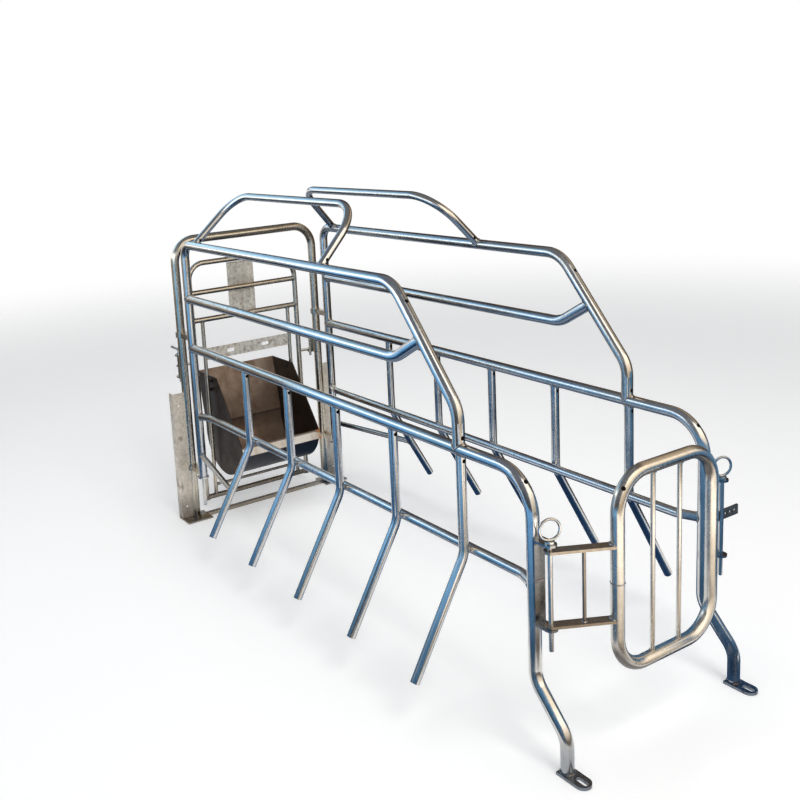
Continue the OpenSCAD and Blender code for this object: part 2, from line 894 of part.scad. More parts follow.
// Two upright rods of the head gate, beside the trough
module head_rods() {
    w = head_gate_width / 2;
    for (s = [left, right])
        difference() {
            run(
                [head_x, s * head_rod_y, head_gate_bottom],
                [head_x, s * head_rod_y, cross_bar_low], head_rod_d
            );
            for (z = [head_gate_bottom, cross_bar_low])
                saddle([head_x, -w, z], [head_x, w, z], small_od);
        }
}

// Plate on the front of the head gate's bars
module tag_sheet() {
    w = head_gate_width / 2;
    face = head_x - small_od / 2 + tag_seat;
    difference() {
        translate([face - tag_t, -tag_offset - tag_width / 2, cross_bar_low])
            cube([tag_t, tag_width, head_gate_height - tag_drop - cross_bar_low]);
        for (z = [cross_bar_low, cross_bar_high])
            saddle([head_x, -w, z], [head_x, w, z], small_od);
    }
}

// Strap between the rods with two slots
module hanger() {
    difference() {
        translate([head_x - hanger_t / 2, -head_rod_y, hanger_bottom])
            cube([hanger_t, 2 * head_rod_y, hanger_width]);
        for (s = [left, right])
            saddle(
                [head_x, s * head_rod_y, hanger_bottom - 40],
                [head_x, s * head_rod_y, hanger_bottom + hanger_width + 40], head_rod_d
            );
        for (s = [left, right]) {
            half = (hanger_slot_length - hanger_slot_width) / 2;
            translate([head_x, s * hanger_slot_spacing / 2, hanger_bottom + hanger_width / 2])
                rotate([0, 90, 0]) {
                    translate([-hanger_slot_width / 2, -half, -10])
                        cube([hanger_slot_width, 2 * half, 20]);
                    for (k = [-half, half])
                        translate([0, k, -10])
                            cylinder(d = hanger_slot_width, h = 20);
                }
        }
    }
}

// Hinge lugs and latch tongue of the head gate
module gate_lugs() {
    w = head_gate_width / 2;
    inner_low = head_bracket_bottom + bracket_t + arm_clearance;
    inner_high = head_bracket_bottom + head_bracket_height - bracket_t - arm_clearance - lug_t;
    middle = head_bracket_bottom + (head_bracket_height - lug_t) / 2;
    for (z = [inner_low, inner_high])
        difference() {
            flat_arm([head_x, w], [head_x, head_pin_y], lug_width, z, lug_t);
            saddle([head_x, w, z - 30], [head_x, w, z + 30], small_od);
            translate([head_x, head_pin_y, z - 1])
                cylinder(d = head_pin_d + 2 * pin_clearance, h = lug_t + 2);
        }
    difference() {
        flat_arm([head_x, -w], [head_x, latch_pin_y], lug_width, middle, lug_t);
        saddle([head_x, -w, middle - 30], [head_x, -w, middle + 30], small_od);
        translate([head_x, latch_pin_y, middle - 1])
            cylinder(d = head_pin_d + 2 * tongue_clearance, h = lug_t + 2);
    }
}

// Outside of the trough: back and sides run into the round bottom, and the sides
// are cut off along their sloping front edge
module trough_outside() {
    difference() {
        union() {
            linear_extrude(trough_width)
                polygon([trough_p, trough_q, trough_c, trough_l + [60, 0], trough_f + [60, 0]]);
            translate([trough_c[0], trough_c[1], 0])
                cylinder(r = trough_r, h = trough_width, $fn = 96);
        }
        translate([0, 0, -1])
            linear_extrude(trough_width + 2)
                polygon([
                    trough_f + 40 * trough_edge, trough_l - 30 * trough_edge,
                    trough_l + [2 * trough_r, 0], trough_f + [2 * trough_r, 40]
                ]);
    }
}

// Inside of the trough, open at the top and the front
module trough_inside() {
    t = [trough_t, 0];
    translate([0, 0, trough_t])
        union() {
            linear_extrude(trough_width - 2 * trough_t)
                polygon([
                    trough_p + t + 20 * trough_up, trough_q + t, trough_c,
                    trough_c + [2 * trough_r, 0], trough_c + [2 * trough_r, trough_height]
                ]);
            translate([trough_c[0], trough_c[1], 0])
                cylinder(r = trough_r - trough_t, h = trough_width - 2 * trough_t, $fn = 96);
        }
}

// Feed trough of folded sheet with a lip folded down in front, and bosses on its
// sides that are bolted to the gate's rods
module trough() {
    translate([head_x, trough_width / 2, 0])
        rotate([90, 0, 0])
            difference() {
                union() {
                    difference() {
                        trough_outside();
                        trough_inside();
                    }
                    translate([trough_front - trough_t / 2, trough_lip_height, 0.5])
                        rotate([0, 0, -trough_lip_angle])
                            translate([0, -trough_t, 0])
                                cube([trough_lip, trough_t, trough_width - 1]);
                    for (k = [0, 1])
                        for (y = [trough_width / 2 - head_rod_y, trough_width - trough_t / 2])
                            translate([0, trough_height - boss_drop - k * boss_spacing, y])
                                cylinder(d = boss_d, h = head_rod_y - trough_width / 2 + trough_t / 2);
                }
                for (s = [left, right])
                    translate([0, -1, trough_width / 2 + s * head_rod_y])
                        rotate([-90, 0, 0])
                            cylinder(d = head_rod_d + 2 * weld_gap, h = trough_height + 2);
                for (k = [0, 1])
                    translate([0, trough_height - boss_drop - k * boss_spacing, -head_rod_y])
                        cylinder(d = trough_hole_d, h = trough_width + 2 * head_rod_y);
            }
}

module left_top_tube() { color(galvanised) placed() top_tube(left); }
module right_top_tube() { color(galvanised) placed() top_tube(right); }
module left_upper_rail() { color(galvanised) placed() upper_rail(left); }
module right_upper_rail() { color(galvanised) placed() upper_rail(right); }
module left_mid_rail() { color(galvanised) placed() mid_rail(left); }
module right_mid_rail() { color(galvanised) placed() mid_rail(right); }
module left_finger_bars() { color(galvanised) placed() finger_bars(left); }
module right_finger_bars() { color(galvanised) placed() finger_bars(right); }
module left_lower_rail() { color(galvanised) placed() lower_rail(left); }
module right_lower_rail() { color(galvanised) placed() lower_rail(right); }
module left_front_brace() { color(galvanised) placed() front_brace(left); }
module right_front_brace() { color(galvanised) placed() front_brace(right); }
module left_hoop() { color(galvanised) placed() hoop(left); }
module right_hoop() { color(galvanised) placed() hoop(right); }
module left_foot_plate() { color(galvanised) placed() foot_plate(left); }
module right_foot_plate() { color(galvanised) placed() foot_plate(right); }
module left_post_end() { color(galvanised) placed() post_end(left); }
module right_post_end() { color(galvanised) placed() post_end(right); }
module left_post_eyes() { color(galvanised) placed() post_eyes(left); }
module right_post_eyes() { color(galvanised) placed() post_eyes(right); }
module left_gate_bracket() { color(galvanised) placed() gate_bracket(left); }
module right_gate_bracket() { color(galvanised) placed() gate_bracket(right); }
module gate_hinge_pin() { color(bright_zinc) placed() ring_pin(left); }
module head_arch() { color(galvanised) placed() head_arch_tube(); }
module base_plate_bar() { color(galvanised) placed() base_plates(); }
module left_side_channel() { color(galvanised) placed() side_channel(left); }
module right_side_channel() { color(galvanised) placed() side_channel(right); }
module left_head_bracket() { color(galvanised) placed() head_bracket(left); }
module right_head_bracket() { color(galvanised) placed() head_bracket(right); }
module head_hinge_pin() { color(bright_zinc) placed() head_hinge(); }
module gate_loop() { color(galvanised) placed() loop_tube(); }
module gate_rods() { color(galvanised) placed() loop_rods(); }
module gate_arms() { color(galvanised) placed() hinge_arms(); }
module gate_arm_rod() { color(galvanised) placed() arm_rod(); }
module gate_latch_strap() { color(galvanised) placed() latch_strap(); }
module gate_latch_pin() { color(bright_zinc) placed() ring_pin(right); }
module head_gate_frame() { color(galvanised) placed() head_frame(); }
module head_gate_bars() { color(galvanised) placed() head_bars(); }
module head_gate_rods() { color(galvanised) placed() head_rods(); }
module tag_plate() { color(dull_sheet) placed() tag_sheet(); }
module hanger_strap() { color(dull_sheet) placed() hanger(); }
module head_gate_lugs() { color(galvanised) placed() gate_lugs(); }
module feed_trough() { color(bare_sheet) placed() trough(); }
module head_latch_pin() { color(bright_zinc) placed() head_latch(); }

left_top_tube();
right_top_tube();
left_upper_rail();
right_upper_rail();
left_mid_rail();
right_mid_rail();
left_finger_bars();
right_finger_bars();
left_lower_rail();
right_lower_rail();
left_front_brace();
right_front_brace();
left_hoop();
right_hoop();
left_foot_plate();
right_foot_plate();
left_post_end();
right_post_end();
left_post_eyes();
right_post_eyes();
left_gate_bracket();
right_gate_bracket();
gate_hinge_pin();
head_arch();
base_plate_bar();
left_side_channel();
right_side_channel();
left_head_bracket();
right_head_bracket();
head_hinge_pin();
gate_loop();
gate_rods();
gate_arms();
gate_arm_rod();
gate_latch_strap();
gate_latch_pin();
head_gate_frame();
head_gate_bars();
head_gate_rods();
tag_plate();
hanger_strap();
head_gate_lugs();
feed_trough();
head_latch_pin();
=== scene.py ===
import math

import bmesh
import bpy
from mathutils import Matrix, Vector


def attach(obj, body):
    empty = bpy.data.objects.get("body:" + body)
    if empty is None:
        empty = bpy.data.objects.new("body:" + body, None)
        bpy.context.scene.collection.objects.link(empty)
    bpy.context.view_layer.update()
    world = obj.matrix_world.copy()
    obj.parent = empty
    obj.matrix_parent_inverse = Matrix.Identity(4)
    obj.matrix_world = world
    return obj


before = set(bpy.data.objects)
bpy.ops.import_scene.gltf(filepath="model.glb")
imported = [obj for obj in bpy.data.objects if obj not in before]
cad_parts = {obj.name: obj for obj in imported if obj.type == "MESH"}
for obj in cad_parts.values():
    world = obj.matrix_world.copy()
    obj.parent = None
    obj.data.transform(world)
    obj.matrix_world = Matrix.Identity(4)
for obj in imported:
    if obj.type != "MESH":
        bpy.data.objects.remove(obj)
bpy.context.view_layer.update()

# Side panels: rails, posts, sloping tubes, finger bars and hoops of steel pipe,
# bent cold, coped and welded, then dipped in zinc as one piece. The skin is dull
# and spangled, with runs, small pits, and grime low down.


def maths(tree, operation, a, b=0.0, clamp=False):
    made = tree.nodes.new("ShaderNodeMath")
    made.operation = operation
    made.use_clamp = clamp
    for socket, value in zip(made.inputs, (a, b)):
        if isinstance(value, (int, float)):
            socket.default_value = value
        else:
            tree.links.new(value, socket)
    return made.outputs[0]


def plus(tree, a, b):
    return maths(tree, "ADD", a, b)


def times(tree, a, b, clamp=False):
    return maths(tree, "MULTIPLY", a, b, clamp)


def larger(tree, a, b, clamp=False):
    return maths(tree, "MAXIMUM", a, b, clamp)


def spread(tree, value, low, high, to_low=0.0, to_high=1.0):
    """A smooth step from to_low at low to to_high at high."""
    made = tree.nodes.new("ShaderNodeMapRange")
    made.interpolation_type = "SMOOTHSTEP"
    tree.links.new(value, made.inputs["Value"])
    ends = {"From Min": low, "From Max": high, "To Min": to_low, "To Max": to_high}
    for name, number in ends.items():
        made.inputs[name].default_value = number
    return made.outputs["Result"]


def tinted(tree, share, first, second):
    """The first colour, with a share of the second mixed in."""
    made = tree.nodes.new("ShaderNodeMix")
    made.data_type = "RGBA"
    tree.links.new(share, made.inputs[0])
    for socket, colour in ((made.inputs[6], first), (made.inputs[7], second)):
        if isinstance(colour, tuple):
            socket.default_value = (*colour, 1.0)
        else:
            tree.links.new(colour, socket)
    return made.outputs[2]


def cloud(tree, place, scale, detail=4.0, rough=0.55, stretch=None):
    """Noise at a scale per metre, drawn out by stretch."""
    if stretch is not None:
        turn = tree.nodes.new("ShaderNodeMapping")
        turn.inputs["Scale"].default_value = stretch
        tree.links.new(place, turn.inputs["Vector"])
        place = turn.outputs["Vector"]
    made = tree.nodes.new("ShaderNodeTexNoise")
    made.inputs["Scale"].default_value = scale
    made.inputs["Detail"].default_value = detail
    made.inputs["Roughness"].default_value = rough
    tree.links.new(place, made.inputs["Vector"])
    return made.outputs["Fac"]


def parted(tree, vector):
    made = tree.nodes.new("ShaderNodeSeparateXYZ")
    tree.links.new(vector, made.inputs["Vector"])
    return made.outputs


# zinc_weather: spangle, runs, pits and grime of a dipped zinc skin, and a mask of painted shade
# for faces that look down and parts low near the floor
zinc_weather = bpy.data.node_groups.new("zinc_weather", "ShaderNodeTree")
for name, default in (("Spangle", 95.0), ("Pits", 0.5), ("Grime", 0.5)):
    socket = zinc_weather.interface.new_socket(
        name=name, in_out="INPUT", socket_type="NodeSocketFloat")
    socket.default_value = default
for name in ("Tone", "Warmth", "Grime", "Painted Shade", "Roughness", "Height"):
    zinc_weather.interface.new_socket(
        name=name, in_out="OUTPUT", socket_type="NodeSocketFloat")
tree = zinc_weather
given = tree.nodes.new("NodeGroupInput")
put_out = tree.nodes.new("NodeGroupOutput")
where = tree.nodes.new("ShaderNodeTexCoord")
place = where.outputs["Object"]
height_m = parted(tree, place)["Z"]
facing_up = parted(tree, where.outputs["Normal"])["Z"]
cells = tree.nodes.new("ShaderNodeTexVoronoi")
tree.links.new(place, cells.inputs["Vector"])
tree.links.new(given.outputs["Spangle"], cells.inputs["Scale"])
flake = tree.nodes.new("ShaderNodeSeparateColor")
tree.links.new(cells.outputs["Color"], flake.inputs["Color"])
pits = tree.nodes.new("ShaderNodeTexVoronoi")
pits.inputs["Scale"].default_value = 240.0
tree.links.new(place, pits.inputs["Vector"])
patches = cloud(tree, place, scale=9.0, detail=5.0)
runs = cloud(tree, place, scale=1.0, detail=3.0, rough=0.6, stretch=(70.0, 70.0, 9.0))
grain = cloud(tree, place, scale=850.0, detail=2.0)
broad = cloud(tree, place, scale=2.6, detail=3.0)

pit_fields = spread(tree, cloud(tree, place, scale=38.0, detail=2.0), 0.60, 0.70)
pit_mask = times(tree, spread(tree, pits.outputs["Distance"], 0.20, 0.08), pit_fields)
pit_mask = times(tree, pit_mask, given.outputs["Pits"], True)
low_down = spread(tree, height_m, 0.45, 0.0)
grime = plus(tree, spread(tree, patches, 0.58, 0.74),
             times(tree, low_down, spread(tree, runs, 0.45, 0.70)))
grime = times(tree, grime, given.outputs["Grime"])
tree.links.new(larger(tree, grime, pit_mask, True), put_out.inputs["Grime"])

tone = plus(tree, times(tree, flake.outputs[0], 0.16),
            times(tree, spread(tree, runs, 0.30, 0.70), 0.28))
tone = plus(tree, tone, times(tree, patches, 0.85))
tree.links.new(times(tree, tone, 0.95, True), put_out.inputs["Tone"])
tree.links.new(spread(tree, broad, 0.40, 0.62), put_out.inputs["Warmth"])

# Painted shade: faces that look down, and parts low near the floor, are marked for the darker,
# bluish under colour that stands in for shade and dark reflections.
shade_facing = plus(tree, facing_up, times(tree, maths(tree, "SUBTRACT", patches, 0.5), 0.35))
low_shade = spread(tree, height_m, 0.135, 0.045, 0.0, 0.62)
tree.links.new(larger(tree, spread(tree, shade_facing, 0.02, -0.32), low_shade),
               put_out.inputs["Painted Shade"])

rough = plus(tree, spread(tree, patches, 0.35, 0.65, 0.13, 0.20),
             times(tree, flake.outputs[1], 0.04))
rough = plus(tree, rough, times(tree, grime, 0.35))
tree.links.new(rough, put_out.inputs["Roughness"])

lumps = plus(tree, times(tree, flake.outputs[2], 0.10), times(tree, grain, 0.20))
lumps = plus(tree, lumps, times(tree, runs, 0.5))
tree.links.new(maths(tree, "SUBTRACT", lumps, times(tree, pit_mask, 0.8)),
               put_out.inputs["Height"])


def zinc_finish(name, dark, pale, warm, soil, spangle, pits, grime, bump,
                metal=1.0, under=(0.10, 0.15, 0.22), satin=0.0, mottle=0.0):
    """A zinc skin: dark to pale flakes, a warm cast in broad areas, soil where
    it is grimy or mottled, and painted shade in the under colour on faces that look down and low
    near the floor. Satin makes it duller."""
    finish = bpy.data.materials.new(name)
    finish.use_nodes = True
    tree = finish.node_tree
    shader = tree.nodes["Principled BSDF"]
    skin = tree.nodes.new("ShaderNodeGroup")
    skin.node_tree = zinc_weather
    skin.inputs["Spangle"].default_value = spangle
    skin.inputs["Pits"].default_value = pits
    skin.inputs["Grime"].default_value = grime
    cast = tinted(tree, skin.outputs["Tone"], dark, pale)
    cast = tinted(tree, times(tree, skin.outputs["Warmth"], 0.55), cast, warm)
    if mottle:
        place = tree.nodes.new("ShaderNodeTexCoord").outputs["Object"]
        spots = cloud(tree, place, scale=55.0, detail=5.0, rough=0.65)
        cast = tinted(tree, spread(tree, spots, 0.46, 0.66, 0.0, mottle), cast, soil)
    # Painted shade: the under colour on faces that look down and on parts low near the floor.
    cast = tinted(tree, times(tree, skin.outputs["Painted Shade"], 0.92), cast, under)
    cast = tinted(tree, skin.outputs["Grime"], cast, soil)
    tree.links.new(cast, shader.inputs["Base Color"])
    tree.links.new(plus(tree, skin.outputs["Roughness"], satin), shader.inputs["Roughness"])
    if metal:
        covered = times(tree, skin.outputs["Grime"], 0.75)
        tree.links.new(maths(tree, "SUBTRACT", metal, covered, True),
                       shader.inputs["Metallic"])
    lift = tree.nodes.new("ShaderNodeBump")
    lift.inputs["Strength"].default_value = bump
    lift.inputs["Distance"].default_value = 0.0008
    tree.links.new(skin.outputs["Height"], lift.inputs["Height"])
    tree.links.new(lift.outputs["Normal"], shader.inputs["Normal"])
    return finish


def dress(finish, *names):
    for name in names:
        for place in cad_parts[name].material_slots:
            place.material = finish


def both(*names):
    return [side + name for side in ("left_", "right_") for name in names]


galvanised = zinc_finish(
    "galvanised_tube", dark=(0.50, 0.52, 0.54), pale=(0.77, 0.78, 0.80),
    warm=(0.70, 0.64, 0.55), soil=(0.15, 0.12, 0.09),
    spangle=95.0, pits=0.20, grime=0.20, bump=0.03)
dress(galvanised, *both("top_tube", "upper_rail", "mid_rail", "finger_bars",
                        "lower_rail", "front_brace", "hoop"))

# Weld beads where the coped tube ends sit on their neighbours: one rippled fillet
# round each end, laid by hand before dipping, so it has the same zinc, rougher and
# darker in the ripples.
x_axis, y_axis, z_axis = Vector((1, 0, 0)), Vector((0, 1, 0)), Vector((0, 0, 1))
post_x = -0.8855
leg_x = post_x + 1.866
foot_x = post_x + 1.968
slope_x = post_x + 1.603
panel_y = 0.318
crossing_y = 0.3054
lower_y = 0.2928
top_rail_z, upper_rail_z, mid_rail_z, lower_rail_z = 1.138, 0.925, 0.728, 0.449
brace_z, post_end_z, foot_plate_z = 0.288, 0.193, 0.008
rail_r, bar_r, small_r, post_rod_r, crossing_r = 0.01685, 0.01345, 0.01065, 0.007, 0.0066
finger_x = [post_x + 0.433 + 0.294 * i for i in range(5)]
finger_lean = Vector((0, 0.179, -0.304))
slope = Vector((0.257, 0, -0.306))
upper_end = Vector((-0.1223, 0, -0.071))
upper_end_at = (post_x + 1.4653, 0.996)
lower_end_run = 0.066
brace_end_out, brace_end_z = 0.0895, 0.286
hoop_feet = ((0.086, 0.048), (0.973, -0.016))
hoop_in, hoop_up = 0.173, 0.176


def new_verts(bm, before):
    return [v for v in bm.verts if v not in before]


def ring_edges(bm, ring):
    return [e for e in bm.edges if e.verts[0] in ring and e.verts[1] in ring]


def lay_bead(bm, foot, along, tube_r, seat_along=None, seat_r=0.0, bead=0.0026):
    """A fillet round a tube that runs from foot along a direction, on a round
    seat through foot or on a flat one."""
    before = set(bm.verts)
    along = along.normalized()
    across = along.orthogonal().normalized()
    turned = Matrix((across, along, across.cross(along))).transposed().to_4x4()
    start = Matrix.Translation(foot + across * (tube_r + 0.25 * bead)) @ turned
    bmesh.ops.create_circle(bm, segments=7, radius=bead, matrix=start)
    ring = new_verts(bm, before)
    bmesh.ops.spin(bm, geom=ring + ring_edges(bm, ring), cent=foot, axis=along,
                   dvec=(0, 0, 0), angle=math.tau, steps=32, use_merge=True)
    for v in new_verts(bm, before):
        out = v.co - foot
        out = (out - along * out.dot(along)).normalized()
        rise = 0.0
        if seat_along is not None:
            seat = seat_along.normalized()
            gone = out * tube_r
            gone = gone - seat * gone.dot(seat)
            step = along - seat * along.dot(seat)
            a, b, c = step.dot(step), 2 * gone.dot(step), gone.dot(gone) - seat_r * seat_r
            rise = (-b + math.sqrt(max(0.0, b * b - 4 * a * c))) / (2 * a)
        angle = math.atan2(out.dot(across.cross(along)), out.dot(across))
        ripple = (0.16 * bead * math.sin(23 * angle + 40 * foot.x)
                  + 0.10 * bead * math.sin(9 * angle + 17 * foot.z))
        v.co += along * rise + out * ripple


def finish_mesh(bm, name, body, finish, smooth=True):
    bmesh.ops.remove_doubles(bm, verts=bm.verts, dist=1e-6)
    bmesh.ops.recalc_face_normals(bm, faces=bm.faces)
    mesh = bpy.data.meshes.new(name)
    bm.to_mesh(mesh)
    bm.free()
    mesh.polygons.foreach_set("use_smooth", [smooth] * len(mesh.polygons))
    piece = bpy.data.objects.new(name, mesh)
    bpy.context.scene.collection.objects.link(piece)
    mesh.materials.append(finish)
    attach(piece, body)


weld_zinc = zinc_finish(
    "weld_zinc", dark=(0.26, 0.27, 0.29), pale=(0.60, 0.60, 0.60),
    warm=(0.46, 0.36, 0.26), soil=(0.28, 0.12, 0.045),
    spangle=300.0, pits=1.0, grime=0.75, bump=0.35, metal=0.92)
for name, s in (("left", -1), ("right", 1)):
    y = s * panel_y
    bm = bmesh.new()
    lay_bead(bm, Vector((post_x, y, upper_rail_z)), x_axis, rail_r, z_axis, rail_r)
    lay_bead(bm, Vector((upper_end_at[0], y, upper_end_at[1])), upper_end, rail_r, slope, rail_r)
    lay_bead(bm, Vector((post_x, y, mid_rail_z)), x_axis, rail_r, z_axis, rail_r)
    lay_bead(bm, Vector((slope_x, y, mid_rail_z)), z_axis, rail_r, x_axis, rail_r)
    for x in finger_x:
        lay_bead(bm, Vector((x, y, mid_rail_z)), -z_axis, bar_r, x_axis, rail_r)
        lay_bead(bm, Vector((x, s * crossing_y, lower_rail_z)), y_axis, crossing_r, bead=0.0034)
    for x, run in ((post_x, lower_end_run), (leg_x, -lower_end_run)):
        turned_in = Vector((run, s * lower_y - y, 0))
        lay_bead(bm, Vector((x, y, lower_rail_z)), turned_in, bar_r, z_axis, rail_r)
    brace_start = Vector((post_x, y, brace_z))
    brace_end = Vector((finger_x[0], y + s * brace_end_out, brace_end_z))
    lean = Vector((0, s * finger_lean.y, finger_lean.z))
    lay_bead(bm, brace_start, brace_end - brace_start, small_r, z_axis, rail_r)
    lay_bead(bm, brace_end, brace_start - brace_end, small_r, lean, bar_r)
    for x, lean in hoop_feet:
        lay_bead(bm, Vector((post_x + x, y, top_rail_z)), Vector((lean, -s * hoop_in, hoop_up)),
                 bar_r, x_axis, rail_r)
    lay_bead(bm, Vector((foot_x, y, foot_plate_z)), z_axis, rail_r)
    lay_bead(bm, Vector((post_x, y, post_end_z)), -z_axis, post_rod_r)
    finish_mesh(bm, name + "_panel_welds", "crate", weld_zinc)

# Vent holes, drilled beside the welds and on the bends so that the zinc can run
# in and out. Each is a small near-black disc, painted as the shade inside the bore,
# with a thin burr round it.
painted_hole_shade = zinc_finish(
    "painted_hole_shade", dark=(0.004, 0.004, 0.004), pale=(0.012, 0.011, 0.010),
    warm=(0.014, 0.010, 0.007), soil=(0.003, 0.003, 0.003),
    spangle=300.0, pits=1.0, grime=0.8, bump=0.2, metal=0.0, under=(0.004, 0.004, 0.004))
bore_shader = painted_hole_shade.node_tree.nodes["Principled BSDF"]
bore_shader.inputs["Specular IOR Level"].default_value = 0.0
finger_vent_z, slope_vent_z = 0.699, 0.760
slope_bend, slope_bend_out = (post_x + 1.394, 1.0806), Vector((0.766, 0, 0.643))
leg_bend, leg_bend_out = (post_x + 1.8344, 0.6964), Vector((0.707, 0, 0.707))
leg_bend_run = Vector((0.707, 0, -0.707))
hoop_vent_up = 0.034


def drill(bm, middle, out, tube_r, run, bore):
    """A near-black disc, the painted shade of a bore, with a burr on the tube round middle,
    facing out.
    """
    before = set(bm.verts)
    out, run = out.normalized(), run.normalized()
    side = out.cross(run)
    turned = Matrix((run, side, out)).transposed().to_4x4()
    bmesh.ops.create_circle(bm, cap_ends=True, cap_tris=True, segments=16, radius=bore,
                            matrix=Matrix.Translation(middle + out * tube_r) @ turned)
    faces = list({f for v in new_verts(bm, before) for f in v.link_faces})
    bmesh.ops.inset_region(bm, faces=faces, thickness=0.18 * bore, depth=-0.0003)
    for v in new_verts(bm, before):
        w = (v.co - middle).dot(side)
        v.co += out * (math.sqrt(max(0.0, tube_r * tube_r - w * w)) - tube_r + 0.0009)


bm = bmesh.new()
for s in (-1, 1):
    y = s * panel_y
    for x in finger_x:
        drill(bm, Vector((x, y, finger_vent_z)), x_axis, bar_r, z_axis, 0.0056)
    drill(bm, Vector((slope_bend[0], y, slope_bend[1])), slope_bend_out, rail_r, slope, 0.0058)
    drill(bm, Vector((leg_bend[0], y, leg_bend[1])), leg_bend_out, rail_r, leg_bend_run, 0.0058)
    drill(bm, Vector((slope_x, y, slope_vent_z)), x_axis, rail_r, z_axis, 0.0060)
    for x, lean in hoop_feet:
        up = Vector((lean, -s * hoop_in, hoop_up)).normalized()
        drill(bm, Vector((post_x + x, y, top_rail_z)) + up * hoop_vent_up,
              x_axis - up * up.x, bar_r, up, 0.0052)
finish_mesh(bm, "vent_holes", "crate", painted_hole_shade, False)

# Feet, post ends and eyes: flame-cut plate and short rod, welded to the panels
# and dipped with them. The feet are a darker, soiled zinc, and like all parts low
# near the floor they also take painted shade.
plate_zinc = zinc_finish(
    "plate_zinc", dark=(0.17, 0.20, 0.24), pale=(0.42, 0.44, 0.47),
    warm=(0.32, 0.30, 0.27), soil=(0.09, 0.07, 0.05),
    spangle=120.0, pits=0.5, grime=0.5, bump=0.08, under=(0.09, 0.13, 0.19))
dress(plate_zinc, *both("foot_plate"))
dress(galvanised, *both("post_end"))
warm_tint_zinc = zinc_finish(
    "warm_tint_zinc", dark=(0.46, 0.42, 0.35), pale=(0.78, 0.73, 0.64),
    warm=(0.70, 0.60, 0.47), soil=(0.13, 0.09, 0.06),
    spangle=95.0, pits=0.35, grime=0.30, bump=0.04, under=(0.08, 0.065, 0.055), satin=0.07)
dress(warm_tint_zinc, *both("post_eyes"))

# Head arch of the same pipe, in a browner, warmer zinc, standing on two floor plates with
# a bar between them. The side channels are folded from zinc sheet, dull and beige,
# stained with dried slurry.
dress(warm_tint_zinc, "head_arch", "base_plate_bar")
channel_sheet = zinc_finish(
    "channel_sheet", dark=(0.56, 0.49, 0.40), pale=(0.98, 0.92, 0.82),
    warm=(0.88, 0.77, 0.60), soil=(0.15, 0.09, 0.055),
    spangle=140.0, pits=0.8, grime=0.85, bump=0.12, metal=0.25,
    under=(0.10, 0.08, 0.06), satin=0.10, mottle=0.20)
dress(channel_sheet, *both("side_channel"))

# Gate brackets of folded plate, stitched to the rear legs and the arch with short
# weld runs, and the drop pins of zinc-plated rod, two of them with a standing ring.
dress(plate_zinc, *both("gate_bracket"))
dress(warm_tint_zinc, *both("head_bracket"))
stitch_x, stitch_out, stitch_step = leg_x + 0.0145, 0.0085, 0.005
cross_run_x, cross_run_step, cross_run_z = leg_x + 0.0222, 0.0045, 0.472


def lay_run(bm, path, bead):
    """A rippled weld run along a path of points, thin at both ends."""
    rings = []
    for i, point in enumerate(path):
        before = set(bm.verts)
        ahead = path[min(i + 1, len(path) - 1)] - path[max(i - 1, 0)]
        last = i in (0, len(path) - 1)
        radius = bead * (0.45 if last else 1 + 0.14 * math.sin(2.3 * i))
        turned = ahead.to_track_quat("Z", "Y").to_matrix().to_4x4()
        bmesh.ops.create_circle(bm, cap_ends=last, segments=8, radius=radius,
                                matrix=Matrix.Translation(point) @ turned)
        rings.append(ring_edges(bm, new_verts(bm, before)))
    for first, second in zip(rings, rings[1:]):
        bmesh.ops.bridge_loops(bm, edges=first + second)


bm = bmesh.new()
for s in (-1, 1):
    y = s * panel_y
    for side in (-1, 1):
        for z in (0.380, 0.455, 0.530):
            lay_run(bm, [Vector((stitch_x, y + side * stitch_out, z + stitch_step * i))
                         for i in range(8)], 0.0026)
    lay_run(bm, [Vector((cross_run_x, y + cross_run_step * i, cross_run_z))
                 for i in range(-3, 4)], 0.0030)
finish_mesh(bm, "bracket_welds", "crate", weld_zinc)
pin_zinc = zinc_finish(
    "pin_zinc", dark=(0.50, 0.51, 0.52), pale=(0.74, 0.74, 0.74),
    warm=(0.66, 0.62, 0.56), soil=(0.20, 0.16, 0.12),
    spangle=260.0, pits=0.5, grime=0.4, bump=0.08)
dress(pin_zinc, "gate_hinge_pin", "gate_latch_pin", "head_hinge_pin", "head_latch_pin")

# Rear gate: a bent loop of pipe with two rods, two flat hinge arms with a rod
# between them and a latch strap with holes. The loop is closed by a butt weld in
# its left upright.
gate_zinc = zinc_finish(
    "gate_zinc", dark=(0.50, 0.49, 0.47), pale=(0.80, 0.78, 0.74),
    warm=(0.74, 0.66, 0.55), soil=(0.15, 0.12, 0.09),
    spangle=95.0, pits=0.20, grime=0.20, bump=0.03, under=(0.10, 0.09, 0.085), satin=0.08)
dress(gate_zinc, "gate_loop", "gate_rods")
arm_brown = zinc_finish(
    "arm_brown", dark=(0.20, 0.17, 0.14), pale=(0.44, 0.39, 0.33),
    warm=(0.36, 0.27, 0.18), soil=(0.10, 0.07, 0.05),
    spangle=120.0, pits=0.6, grime=0.5, bump=0.10, metal=0.9, under=(0.07, 0.055, 0.045))
dress(arm_brown, "gate_arms", "gate_arm_rod", "gate_latch_strap")
gate_x = post_x + 1.996
loop_left_y, loop_low_z, loop_high_z, butt_z = -0.173, 0.228, 0.726, 0.463
gate_rod_y, gate_rod_r = 0.049, 0.006
low_arm_z, high_arm_z, arm_top = 0.365, 0.554, 0.0076
arm_rod_low_z, arm_rod_r = 0.372, 0.0048
bm = bmesh.new()
for y in (-gate_rod_y, gate_rod_y):
    for z, way in ((loop_low_z, z_axis), (loop_high_z, -z_axis)):
        lay_bead(bm, Vector((gate_x, y, z)), way, gate_rod_r, y_axis, rail_r, 0.0024)
